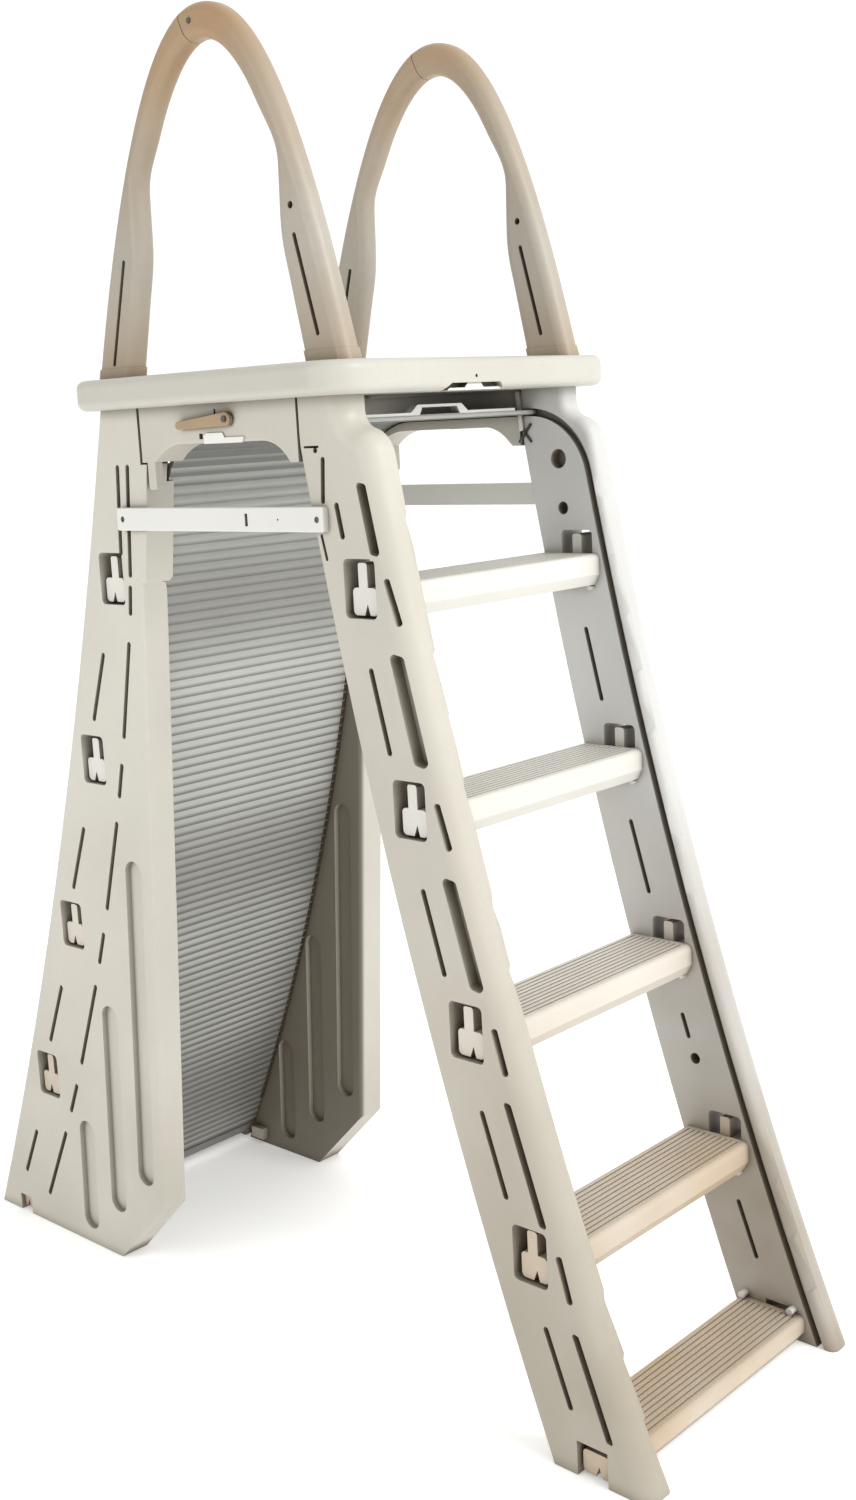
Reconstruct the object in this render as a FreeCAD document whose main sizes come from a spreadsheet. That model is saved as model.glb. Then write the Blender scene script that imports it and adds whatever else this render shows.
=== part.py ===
"""A-frame pool ladder with a slatted safety barrier.

Frame: +X points to the yard side, -X to the pool side, +Z up, floor at z = 0.
Outlines are written about the middle of the platform. Every sub-part is then shifted along X, so that
the origin lies under the middle of the whole ladder's bounding box. Lengths are in millimetres.
"""

import FreeCAD, Part
import math
import os
from FreeCAD import Vector

doc = FreeCAD.newDocument("pool_ladder")

# ---------------------------------------------------------------------------------------------------
# Driving dimensions
# ---------------------------------------------------------------------------------------------------

DIMENSIONS = [
    ("platform_size", 610, "side of the square platform"),
    ("platform_thick", 46, "platform thickness"),
    ("platform_top", 1509, "height of the standing surface"),
    ("platform_corner", 61, "corner radius of the platform in plan"),
    ("half_span", 266, "outer face of the side rails from the middle plane"),
    ("rail_thick", 53, "thickness of the side rails"),
    ("rail_round", 30, "rounding of the yard-side edge of the outer rails"),
    ("flange_round", 12, "rounding of the same edge on the inner face, beside the track"),
    ("edge_round", 5, "rounding of the other rail edges"),
    ("mid_level", 600, "height of the middle point of each rail curve"),
    ("outer_front_foot", 729, "outer rail, yard edge at the floor"),
    ("outer_front_mid", 515, "outer rail, yard edge at the middle level"),
    ("outer_front_top", 323, "outer rail, yard edge under the shoulder"),
    ("outer_back_foot", 564, "outer rail, inner edge at the floor"),
    ("outer_back_mid", 366, "outer rail, inner edge at the middle level"),
    ("outer_back_top", 186, "outer rail, inner edge at the shoulder"),
    ("shoulder_level", 1382, "height where the outer rail turns in under the platform"),
    ("shoulder_top", 270, "outer rail, yard edge under the platform"),
    ("pool_edge_foot", 787, "pool rail, outer edge at the floor"),
    ("pool_edge_mid", 537, "pool rail, outer edge at the middle level"),
    ("pool_edge_top", 266, "pool rail, outer edge under the platform"),
    ("track_outer_foot", 704, "barrier track on the yard side at the floor"),
    ("track_outer_mid", 496, "barrier track on the yard side at the middle level"),
    ("track_outer_top", 318, "barrier track on the yard side at the bend centre"),
    ("track_pool_foot", 620, "barrier track on the pool side at the floor"),
    ("track_pool_mid", 359, "barrier track on the pool side at the middle level"),
    ("track_pool_top", 176, "barrier track on the pool side at the bend centre"),
    ("track_level", 1427, "height of the track under the platform"),
    ("bend_radius", 115, "radius of the two bends in the track"),
    ("track_width", 12, "width of the track groove"),
    ("track_depth", 14, "depth of the track groove in the rails"),
    ("tread_rise", 301, "height from one tread to the next"),
    ("bottom_tread_top", 44, "height of the lowest tread"),
    ("tread_thick", 48, "tread thickness"),
    ("bottom_tread_thick", 38, "thickness of the lowest tread"),
    ("outer_tread_depth", 114, "front to back of a yard-side tread"),
    ("pool_tread_depth", 102, "front to back of a pool-side tread"),
    ("window_wide", 60, "width of the tread windows in the rails"),
    ("window_tall", 82, "height of the tread windows in the rails"),
    ("window_inset", 43, "middle of a window behind the tread's front edge"),
    ("slat_pitch", 16, "pitch of the barrier slats"),
    ("slat_thick", 8, "thickness of the barrier slats"),
    ("slat_half_length", 221, "half the length of a slat"),
    ("travel_slats", 9, "slats that pass while the lead bar turns over the bend"),
    ("bar_tall", 35, "height of a spreader bar"),
    ("bar_thick", 12, "thickness of a spreader bar"),
    ("bar_half_length", 233, "half the length of a spreader bar"),
    ("bar_base", 1280, "underside of the spreader bars"),
    ("handrail_rise", 499, "top of a handrail above the platform"),
    ("handrail_half_foot", 276, "half the width of a handrail at its feet"),
    ("handrail_thick", 38, "thickness of a handrail across the ladder"),
    ("handrail_round", 16, "rounding of the handrail edges"),
    ("handrail_plane", 238, "middle plane of a handrail from the middle plane"),
    ("collar_tall", 16, "height of the collar at a handrail foot"),
    ("recess_depth", 20, "depth of the moulded slots"),
    ("stud_radius", 4, "radius of the leg studs"),
    ("screw_radius", 3, "radius of the screws"),
]

sheet = doc.addObject("Spreadsheet::Sheet", "Dimensions")
for row, (alias, value, note) in enumerate(DIMENSIONS, start=1):
    sheet.set(f"A{row}", alias)
    sheet.set(f"B{row}", str(value))
    sheet.set(f"C{row}", note)
    sheet.setAlias(f"B{row}", alias)
doc.recompute()


def size(alias):
    """The value of one driving dimension."""
    return float(sheet.get(alias))


SHIFT = "(Dimensions.pool_edge_foot - Dimensions.outer_front_foot) / 2"
NEAR, FAR = -1, 1
SIDES = (("near", NEAR), ("far", FAR))
PLATFORM_BASE = size("platform_top") - size("platform_thick")
PLATFORM_BASE_RULE = "Dimensions.platform_top - Dimensions.platform_thick"
INNER_FACE = size("half_span") - size("rail_thick")
BEND_LEVEL = size("track_level") - size("bend_radius")
FIT = 0.1

# ---------------------------------------------------------------------------------------------------
# Plane geometry: points are (x, z) pairs, an outline is a list of segments
# ---------------------------------------------------------------------------------------------------


class Circle:
    """A circle through three points, or of a known centre and radius."""

    def __init__(self, centre, radius):
        self.x, self.z = centre
        self.r = radius

    @classmethod
    def through(cls, a, b, c):
        found = Part.Arc(flat(a), flat(b), flat(c)).toShape().Curve
        return cls((found.Center.x, found.Center.y), found.Radius)

    def at_height(self, z, side):
        """x of the circle at a height, on its left (-1) or right (+1) side."""
        return self.x + side * math.sqrt(self.r**2 - (z - self.z) ** 2)

    def at_angle(self, degrees):
        angle = math.radians(degrees)
        return (self.x + self.r * math.cos(angle), self.z + self.r * math.sin(angle))

    def angle_of(self, point):
        return math.degrees(math.atan2(point[1] - self.z, point[0] - self.x))

    def grown(self, amount):
        return Circle((self.x, self.z), self.r + amount)


def flat(point):
    return Vector(point[0], point[1], 0)


def line(a, b):
    return ("line", a, b)


def arc(a, via, b):
    return ("arc", a, via, b)


def circle_arc(circle, start, end):
    """Arc of a circle between two angles in degrees."""
    middle = (start + end) / 2
    return arc(circle.at_angle(start), circle.at_angle(middle), circle.at_angle(end))


def along_circle(circle, side, levels):
    """Arcs of a circle that follow each other from level to level."""
    points = [(circle.at_height(level, side), level) for level in levels]
    angles = [circle.angle_of(point) for point in points]
    return [circle_arc(circle, start, end) for start, end in zip(angles, angles[1:])]


def ring(x, z, radius):
    return ("circle", (x, z), radius)


def curve(points):
    return ("curve", points)


def start_of(segment):
    return segment[1][0] if segment[0] == "curve" else segment[1]


def end_of(segment):
    return segment[1][-1] if segment[0] == "curve" else segment[-1]


def middle_of(segment):
    """A point inside a segment, away from its ends."""
    if segment[0] == "arc":
        return segment[2]
    if segment[0] == "curve":
        return segment[1][len(segment[1]) // 2]
    return ((segment[1][0] + segment[2][0]) / 2, (segment[1][1] + segment[2][1]) / 2)


def polygon(points):
    """Closed outline of straight lines."""
    return [line(a, b) for a, b in zip(points, points[1:] + points[:1])]


def box_outline(x_low, x_high, z_low, z_high):
    return polygon([(x_low, z_low), (x_high, z_low), (x_high, z_high), (x_low, z_high)])


def rounded_box(x_low, x_high, z_low, z_high, radius):
    """Closed rectangle with four round corners."""
    corners = [
        (x_high - radius, z_low + radius, -90),
        (x_high - radius, z_high - radius, 0),
        (x_low + radius, z_high - radius, 90),
        (x_low + radius, z_low + radius, 180),
    ]
    return joined([circle_arc(Circle((x, z), radius), angle, angle + 90) for x, z, angle in corners])


def rounded_polygon(points, radius):
    """Closed polygon whose corners are all rounded by one radius."""
    count = len(points)
    arcs = []
    for index, corner in enumerate(points):
        before = Vector(*points[index - 1], 0) - flat(corner)
        after = Vector(*points[(index + 1) % count], 0) - flat(corner)
        before.normalize()
        after.normalize()
        half_angle = before.getAngle(after) / 2
        reach = radius / math.tan(half_angle)
        middle = (before + after).normalize()
        to_arc = radius / math.sin(half_angle) - radius
        steps = (before * reach, middle * to_arc, after * reach)
        spots = [flat(corner) + step for step in steps]
        arcs.append(arc(*[(spot.x, spot.y) for spot in spots]))
    return joined(arcs)


def joined(arcs):
    """Closed outline of arcs with straight lines between them."""
    outline = []
    for piece, following in zip(arcs, arcs[1:] + arcs[:1]):
        outline.append(piece)
        outline.append(line(end_of(piece), start_of(following)))
    return outline


def slot_outline(a, b, width):
    """Straight slot with round ends, whose tips are at a and b."""
    length = math.dist(a, b)
    along = ((b[0] - a[0]) / length, (b[1] - a[1]) / length)
    across = (-along[1], along[0])
    half = width / 2

    def place(distance, offset):
        return (
            a[0] + along[0] * distance + across[0] * offset,
            a[1] + along[1] * distance + across[1] * offset,
        )

    return [
        line(place(half, -half), place(length - half, -half)),
        arc(place(length - half, -half), place(length, 0), place(length - half, half)),
        line(place(length - half, half), place(half, half)),
        arc(place(half, half), place(0, 0), place(half, -half)),
    ]


# ---------------------------------------------------------------------------------------------------
# Bodies, sketches and features
# ---------------------------------------------------------------------------------------------------

parts = []


def new_body(label):
    """A sub-part as a PartDesign body, shifted with the whole ladder."""
    body = doc.addObject("PartDesign::Body", label)
    body.Label = label
    body.setExpression("Placement.Base.x", SHIFT)
    parts.append(body)
    return body


def new_sketch(body, outlines, offset="0", role="XZ_Plane"):
    """Sketch on an origin plane of the body, moved along the plane's normal by an expression."""
    sketch = body.newObject("Sketcher::SketchObject", body.Label + "_sketch")
    plane = next(item for item in body.Origin.OriginFeatures if item.Role == role)
    sketch.AttachmentSupport = [(plane, "")]
    sketch.MapMode = "FlatFace"
    sketch.setExpression("AttachmentOffset.Base.z", offset)
    for outline in outlines:
        for segment in outline:
            add_segment(sketch, segment)
    return sketch


def add_segment(sketch, segment):
    kind = segment[0]
    if kind == "line":
        sketch.addGeometry(Part.LineSegment(flat(segment[1]), flat(segment[2])))
    elif kind == "arc":
        sketch.addGeometry(Part.Arc(flat(segment[1]), flat(segment[2]), flat(segment[3])))
    elif kind == "circle":
        sketch.addGeometry(Part.Circle(flat(segment[1]), Vector(0, 0, 1), segment[2]))
    else:
        spline = Part.BSplineCurve()
        spline.interpolate([flat(point) for point in segment[1]])
        sketch.addGeometry(spline)


def pad(body, outlines, length, offset="0", role="XZ_Plane", reverse=False, symmetric=False):
    feature = body.newObject("PartDesign::Pad", body.Label + "_pad")
    feature.Profile = new_sketch(body, outlines, offset, role)
    feature.setExpression("Length", length)
    feature.Reversed = reverse
    feature.SideType = "Symmetric" if symmetric else "One side"
    doc.recompute()
    return feature


def pocket(body, outlines, depth, offset="0", role="XZ_Plane", reverse=False, symmetric=False):
    """Cuts the outlines out of the body, and makes sure that something was cut."""
    before = body.Tip.Shape.Volume
    feature = body.newObject("PartDesign::Pocket", body.Label + "_pocket")
    feature.Profile = new_sketch(body, outlines, offset, role)
    feature.setExpression("Length", depth)
    feature.Reversed = reverse
    feature.SideType = "Symmetric" if symmetric else "One side"
    doc.recompute()
    if body.Tip.Shape.Volume >= before - 0.01:
        raise RuntimeError(f"a pocket of {body.Label} cuts nothing")
    return feature


def edges_through(shape, points):
    """Names of the edges that pass through the given points."""
    names = []
    for number, edge in enumerate(shape.Edges, start=1):
        if any(edge.distToShape(Part.Vertex(point))[0] < 0.01 for point in points):
            names.append(f"Edge{number}")
    return names


def fillet(body, points, radius):
    base = body.Tip
    feature = body.newObject("PartDesign::Fillet", body.Label + "_fillet")
    feature.Base = (base, edges_through(base.Shape, points))
    feature.setExpression("Radius", radius)
    doc.recompute()
    return feature


def on_faces(segments, *levels):
    """Points on the edges that an outline leaves on the planes y = level."""
    middles = [middle_of(segment) for segment in segments]
    return [Vector(x, y, z) for x, z in middles for y in levels]


def outer_offset(side):
    """Sketch offset of a rail's outer face. The plane's normal points to -Y."""
    return "Dimensions.half_span" if side == NEAR else "-Dimensions.half_span"


def inner_offset(side):
    sign = "" if side == NEAR else "-"
    return f"{sign}(Dimensions.half_span - Dimensions.rail_thick)"


def slab(body, outline, side):
    """A plate as thick as the rails, on one side of the ladder."""
    return pad(body, [outline], "Dimensions.rail_thick", outer_offset(side), reverse=side == NEAR)


def cut_outside(body, outlines, depth, side):
    """Cuts from the outer face of a rail towards the middle of the ladder."""
    return pocket(body, outlines, depth, outer_offset(side), reverse=side == FAR)


def cut_inside(body, outlines, depth, side):
    """Cuts from the inner face of a rail towards its outer face."""
    return pocket(body, outlines, depth, inner_offset(side), reverse=side == NEAR)


def drill_down(body, spots, radius, level, depth):
    """Vertical holes from a level downwards, at (x, y) spots."""
    holes = [[ring(x, y, radius)] for x, y in spots]
    return pocket(body, holes, depth, level, role="XY_Plane")


# ---------------------------------------------------------------------------------------------------
# The curves of the ladder
# ---------------------------------------------------------------------------------------------------

mid = size("mid_level")
outer_front = Circle.through(
    (size("outer_front_foot"), 0),
    (size("outer_front_mid"), mid),
    (size("outer_front_top"), size("shoulder_level")),
)
outer_back = Circle.through(
    (size("outer_back_foot"), 0),
    (size("outer_back_mid"), mid),
    (size("outer_back_top"), size("shoulder_level")),
)
pool_edge = Circle.through(
    (-size("pool_edge_foot"), 0),
    (-size("pool_edge_mid"), mid),
    (-size("pool_edge_top"), PLATFORM_BASE),
)
outer_track = Circle.through(
    (size("track_outer_foot"), 0),
    (size("track_outer_mid"), mid),
    (size("track_outer_top"), BEND_LEVEL),
)
dash_line = Circle.through((-654, 0), (-378, mid), (-239, 1100))
pool_track = Circle.through(
    (-size("track_pool_foot"), 0),
    (-size("track_pool_mid"), mid),
    (-size("track_pool_top"), BEND_LEVEL),
)


def bend_beside(track, side):
    """The bend that leads a track tangentially into its level run. side is +1 for the pool track."""
    reach = track.r + size("bend_radius")
    x = track.x + side * math.sqrt(reach**2 - (BEND_LEVEL - track.z) ** 2)
    return Circle((x, BEND_LEVEL), size("bend_radius"))


pool_bend = bend_beside(pool_track, 1)
outer_bend = bend_beside(outer_track, -1)
pool_join_angle = pool_track.angle_of((pool_bend.x, pool_bend.z))
outer_join_angle = outer_track.angle_of((outer_bend.x, outer_bend.z))


def track_side(offset):
    """Open run of segments along the track, moved away from the ladder's middle by offset."""
    below_floor = -40
    pool = pool_track.grown(-offset)
    outer = outer_track.grown(-offset)
    bend_in = pool_bend.grown(offset)
    bend_out = outer_bend.grown(offset)
    pool_foot = pool.angle_of((pool.at_height(below_floor, 1), below_floor))
    outer_foot = outer.angle_of((outer.at_height(below_floor, -1), below_floor)) % 360
    join_in = 180 + pool_join_angle
    join_out = (outer_join_angle % 360) - 180
    return [
        circle_arc(pool, pool_foot, pool_join_angle),
        circle_arc(bend_in, join_in, 90),
        line(bend_in.at_angle(90), bend_out.at_angle(90)),
        circle_arc(bend_out, 90, join_out),
        circle_arc(outer, outer_join_angle % 360, outer_foot),
    ]


def backwards(segment):
    return (segment[0],) + tuple(reversed(segment[1:]))


def track_groove():
    """Closed outline of the groove that guides the ends of the slats."""
    half = size("track_width") / 2
    outside = track_side(half)
    inside = [backwards(segment) for segment in reversed(track_side(-half))]
    closing = line(end_of(outside[-1]), start_of(inside[0]))
    opening = line(end_of(inside[-1]), start_of(outside[0]))
    return outside + [closing] + inside + [opening]


TREAD_NUMBERS = (1, 2, 3, 4, 5)
LOWEST = TREAD_NUMBERS[-1]
FIRST_STEP_DOWN = 301
TRACK_TO_TREAD = 10
EDGE_TO_TREAD = 24


def tread_top(number):
    if number == LOWEST:
        return size("bottom_tread_top")
    return size("platform_top") - FIRST_STEP_DOWN - size("tread_rise") * (number - 1)


def tread_thickness(number):
    return size("bottom_tread_thick") if number == LOWEST else size("tread_thick")


def outer_tread_front(number):
    return outer_track.at_height(tread_top(number), -1) - TRACK_TO_TREAD


def pool_tread_front(number):
    return pool_edge.at_height(tread_top(number), 1) + EDGE_TO_TREAD


SMALL_TENON = (26, 56, 30)


def window(front, top, inward, number):
    """Rounded window in a rail at the end of a tread. inward is the sign of X from its front edge."""
    middle = front + inward * size("window_inset")
    half = size("window_wide") / 2
    high = top + 36
    low = high - size("window_tall")
    if number < LOWEST:
        return rounded_box(middle - half, middle + half, low, high, 8)
    if inward < 0:
        return box_outline(middle - 26, middle + 26, -30, top + 8)
    return box_outline(front + SMALL_TENON[0] - 2, front + SMALL_TENON[1] + 2, -30, SMALL_TENON[2] + 2)


STUD_SPOTS = {"outer": (205, 245), "pool": (-205, -245)}
STUD_REACH_DOWN = 38
STUD_REACH_UP = 70


def stud_spots(where, side):
    return [(x, side * size("handrail_plane")) for x in STUD_SPOTS[where]]


def drill_studs(body, where, side, level, depth):
    spots = stud_spots(where, side)
    drill_down(body, spots, size("stud_radius") + FIT, level, depth)


# ---------------------------------------------------------------------------------------------------
# Side rails
# ---------------------------------------------------------------------------------------------------

END_PATCH = 12
BAR_SCREWS = {"pool": -212, "outer": 222}
BAR_SCREW_LEVEL = size("bar_base") + size("bar_tall") / 2
SCREW_DEPTH = 24
HEAD_RADIUS = 4.5
HEAD_TALL = 2.5


def screw_hole(x, z):
    return [ring(x, z, size("screw_radius") + FIT)]


def outer_rail_outline():
    """Yard-side rail: a flared plate with an S-shaped shoulder under the platform."""
    shoulder_radius = 45
    throat_radius = 28
    turn_angle = outer_front.angle_of((size("outer_front_top"), size("shoulder_level")))
    turn = math.radians(turn_angle)
    start = outer_front.at_angle(turn_angle)
    shoulder_x = start[0] + shoulder_radius * math.cos(turn)
    shoulder_z = start[1] + shoulder_radius * math.sin(turn)
    shoulder = Circle((shoulder_x, shoulder_z), shoulder_radius)
    throat_x = size("shoulder_top") + throat_radius
    reach = shoulder_radius + throat_radius
    throat_z = shoulder.z + math.sqrt(reach**2 - (throat_x - shoulder.x) ** 2)
    throat = Circle((throat_x, throat_z), throat_radius)
    meet = shoulder.angle_of((throat.x, throat.z))
    back_top = (size("outer_back_top"), size("shoulder_level"))
    front_head = (size("shoulder_top"), PLATFORM_BASE)
    back_head = (size("outer_back_top"), PLATFORM_BASE)
    front = along_circle(outer_front, -1, [0, END_PATCH, size("shoulder_level")]) + [
        circle_arc(shoulder, turn_angle + 180, meet),
        circle_arc(throat, meet + 180, 180),
        line(throat.at_angle(180), front_head),
    ]
    top = size("shoulder_level")
    back = along_circle(outer_back, -1, [top, top - END_PATCH, END_PATCH, 0])
    plain = [line(front_head, back_head), line(back_head, back_top)]
    foot = [line(end_of(back[-1]), start_of(front[0]))]
    return front, plain, back, foot


SLOT_WIDE = 9
BROAD_SLOTS = {1: (140, 38, 18), 2: (212, 54, 26), 3: (212, 54, 25), 4: (212, 42, 14), 5: (168, 22, 13)}
THIN_SLOTS = {1: (112, 62), 2: (188, 68), 3: (188, 68), 4: (188, 68), 5: (160, 50)}
INNER_SLOTS = {2: (186, 70), 3: (186, 70), 4: (186, 146), 5: (160, 70)}


def tread_line(z):
    """x of the front edges of the yard-side treads at a height."""
    return outer_track.at_height(z, -1) - TRACK_TO_TREAD


def leaning_slot(high, low, inset, width):
    """Slot that follows the lean of the rail, at a distance behind the tread line."""
    return slot_outline((tread_line(high) - inset, high), (tread_line(low) - inset, low), width)


def broad_slot(high, low, width):
    """Wide recess with small corners, whose ends slope a little."""
    half = width / 2
    inset = 3
    drop = width * 0.22
    top_x = tread_line(high) - inset
    low_x = tread_line(low) - inset
    corners = [
        (low_x - half, low + drop),
        (low_x + half, low),
        (top_x + half, high - drop),
        (top_x - half, high),
    ]
    return rounded_polygon(corners, width * 0.3)


def outer_face_slots(number):
    """Moulded slots of one bay on the outer face, above and beside its tread."""
    top = tread_top(number)
    high, low, wide = BROAD_SLOTS[number]
    slots = [broad_slot(top + high, top + low, wide)]
    high, low = THIN_SLOTS[number]
    slots.append(leaning_slot(top + high, top + low, 57, SLOT_WIDE))
    if number < LOWEST:
        start = outer_tread_front(number) + 5
        slots.append(slot_outline((start, top + 10), (start + 19, top - 54), SLOT_WIDE))
    return slots


def inner_face_slots():
    """Thin slots on the inner face, with the round ports."""
    slots = []
    for number, (high, low) in INNER_SLOTS.items():
        top = tread_top(number)
        slots.append(leaning_slot(top + high, top + low, 57, SLOT_WIDE - 1))
    ports = [ring(256, 1354, 15), ring(262, 1278, 10), ring(486, 420, 9)]
    return slots + [[port] for port in ports]


def head_marks():
    """Hole, slot and groove near the head of the rail, on the outer face."""
    return [
        [ring(215, 1391, 4)],
        slot_outline((229, 1382), (224, 1318), 8),
        box_outline(193, 222, 1394, 1397),
        slot_outline((217, 1277), (226, 1240), 5),
    ]


def build_outer_rail(name, side):
    body = new_body(f"outer_rail_{name}")
    front, plain, back, foot = outer_rail_outline()
    slab(body, front + plain + back + foot, side)
    outside = side * size("half_span")
    inside = side * INNER_FACE
    fillet(body, on_faces(front[:4], outside), "Dimensions.rail_round")
    fillet(body, on_faces(front[:4], inside), "Dimensions.flange_round")
    fillet(body, on_faces(back, outside, inside), "Dimensions.edge_round")
    windows = [window(outer_tread_front(n), tread_top(n), -1, n) for n in TREAD_NUMBERS]
    cut_outside(body, windows, "Dimensions.rail_thick + 1", side)
    recesses = [slot for number in TREAD_NUMBERS for slot in outer_face_slots(number)]
    cut_outside(body, recesses + head_marks(), "Dimensions.recess_depth", side)
    cut_outside(body, [screw_hole(BAR_SCREWS["outer"], BAR_SCREW_LEVEL)], f"{SCREW_DEPTH}", side)
    cut_inside(body, [track_groove()], "Dimensions.track_depth", side)
    cut_inside(body, inner_face_slots(), "Dimensions.recess_depth", side)
    drill_studs(body, "outer", side, PLATFORM_BASE_RULE, f"{STUD_REACH_DOWN}")
    return body


def pool_rail_outline():
    """Pool-side rail with its skirt, which widens towards the floor."""
    levels = [PLATFORM_BASE, PLATFORM_BASE - END_PATCH, END_PATCH, 0]
    edge = along_circle(pool_edge, 1, levels)
    heel = (-408, 0)
    toe = (-278, 129)
    waist = (-191, 1197)
    plate_low = (-182, 1204)
    plate_high = (-157, LEG_LEVEL - 3)
    seam = -172
    skirt = [line(heel, toe), line(toe, waist)]
    plate = [
        line(waist, plate_low),
        line(plate_low, plate_high),
        line(plate_high, (seam, plate_high[1])),
        line((seam, plate_high[1]), (seam, PLATFORM_BASE)),
        line((seam, PLATFORM_BASE), start_of(edge[0])),
    ]
    foot = [line(end_of(edge[-1]), heel)]
    return edge, foot, skirt, plate


ROW_HIGH, ROW_LOW = 176, 61
DASH_HIGH, DASH_LOW = 197, 38
SHORT_HIGH, SHORT_LOW = -4, -63


def edge_slot(high, low, inset_high, inset_low):
    """Thin slot at a distance inside the outer edge of the pool rail."""
    a = (pool_edge.at_height(high, 1) + inset_high, high)
    b = (pool_edge.at_height(low, 1) + inset_low, low)
    return slot_outline(a, b, SLOT_WIDE)


def dash(high, low):
    """Thin slot on the line of dashes between the windows and the skirt."""
    a = (dash_line.at_height(high, 1), high)
    b = (dash_line.at_height(low, 1), low)
    return slot_outline(a, b, SLOT_WIDE)


def pool_rail_slots():
    """Moulded slots of the outer face: one row beside the windows, one row of dashes further in."""
    slots = []
    for number in TREAD_NUMBERS[1:]:
        top = tread_top(number)
        squeeze = 42 if number == LOWEST else 0
        slots.append(edge_slot(top + ROW_HIGH - squeeze, top + ROW_LOW - squeeze / 2, 65, 58))
        slots.append(dash(top + DASH_HIGH - squeeze, top + DASH_LOW - squeeze * 0.6))
        if number < LOWEST:
            slots.append(dash(top + SHORT_HIGH, top + SHORT_LOW))
    plate = [((-230, 1380), (-240, 1240)), ((-205, 1380), (-221, 1206)), ((-223, 1194), (-229, 1146))]
    slots += [slot_outline(a, b, SLOT_WIDE) for a, b in plate]
    return slots


def skirt_channels():
    """Long round-ended channels in the skirt, on both faces."""
    width = 42
    ends = [((-279, 740), (-320, 160)), ((-382, 470), (-406, 86)), ((-482, 236), (-494, 28))]
    return [slot_outline(a, b, width) for a, b in ends]


def build_pool_rail(name, side):
    body = new_body(f"pool_rail_{name}")
    edge, foot, skirt, plate = pool_rail_outline()
    slab(body, edge + foot + skirt + plate, side)
    outside = side * size("half_span")
    inside = side * INNER_FACE
    fillet(body, on_faces(edge, outside, inside), "Dimensions.edge_round + 3")
    fillet(body, on_faces([skirt[1]], outside), "Dimensions.edge_round")
    fillet(body, on_faces([skirt[1]], inside), "Dimensions.edge_round * 2")
    windows = [window(pool_tread_front(n), tread_top(n), 1, n) for n in TREAD_NUMBERS]
    cut_outside(body, windows, "Dimensions.rail_thick + 1", side)
    cut_outside(body, pool_rail_slots(), "Dimensions.recess_depth", side)
    cut_outside(body, skirt_channels(), "Dimensions.recess_depth / 2", side)
    cut_outside(body, [screw_hole(BAR_SCREWS["pool"], BAR_SCREW_LEVEL)], f"{SCREW_DEPTH}", side)
    cut_inside(body, [track_groove()], "Dimensions.track_depth", side)
    cut_inside(body, skirt_channels(), "Dimensions.recess_depth / 2", side)
    drill_studs(body, "pool", side, PLATFORM_BASE_RULE, f"{STUD_REACH_DOWN}")
    return body


# ---------------------------------------------------------------------------------------------------
# Bridge panels between the rails, under the platform
# ---------------------------------------------------------------------------------------------------

BRIDGE_LEFT = -166
BRIDGE_RIGHT = 181
LEG_LEVEL = 1382
ARCH_LEVEL = 1407
LEVER_PIVOT = (41, 1440)


def bridge_outline():
    """Arch panel: a wide round corner on the pool side, a sloping one on the yard side."""
    left = Circle((-72, ARCH_LEVEL - 92), 92)
    left_foot = left.angle_of((left.at_height(LEG_LEVEL, -1), LEG_LEVEL))
    right = Circle((105, ARCH_LEVEL - 68), 68)
    right_turn = 42
    slope_end = (165, LEG_LEVEL - 6)
    return [
        line((BRIDGE_LEFT, PLATFORM_BASE), (BRIDGE_LEFT, LEG_LEVEL)),
        line((BRIDGE_LEFT, LEG_LEVEL), left.at_angle(left_foot)),
        circle_arc(left, left_foot, 90),
        line(left.at_angle(90), right.at_angle(90)),
        circle_arc(right, 90, right_turn),
        line(right.at_angle(right_turn), slope_end),
        line(slope_end, (BRIDGE_RIGHT, slope_end[1])),
        line((BRIDGE_RIGHT, slope_end[1]), (BRIDGE_RIGHT, PLATFORM_BASE)),
        line((BRIDGE_RIGHT, PLATFORM_BASE), (BRIDGE_LEFT, PLATFORM_BASE)),
    ]


def build_bridge(name, side):
    body = new_body(f"bridge_panel_{name}")
    outline = bridge_outline()
    slab(body, outline, side)
    outside = side * size("half_span")
    fillet(body, on_faces(outline[2:5], outside), "Dimensions.edge_round * 0.6")
    hook = [rounded_box(-154, -136, 1341, LEG_LEVEL + 24, 4)]
    pad(body, hook, "Dimensions.track_depth", outer_offset(side), reverse=side == NEAR)
    cut_inside(body, [track_groove()], "Dimensions.track_depth", side)
    clip_seat = [box_outline(-28, -20, 1413, 1421)]
    cut_outside(body, clip_seat, "Dimensions.recess_depth / 2", side)
    middle_slot = box_outline(8, 12, 1434, 1455)
    cut_outside(body, [middle_slot], "Dimensions.recess_depth / 2", side)
    if side == NEAR:
        cut_outside(body, [screw_hole(*LEVER_PIVOT)], f"{SCREW_DEPTH}", side)
    return body


# ---------------------------------------------------------------------------------------------------
# Treads
# ---------------------------------------------------------------------------------------------------

GROOVES = 10
NOSE_RADIUS = 9
BACK_RADIUS = 5
TENON_INSET = 18
TENON_WIDE = 46
HOOK_INSET = 35
HOOK_WIDE = 17


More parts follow.
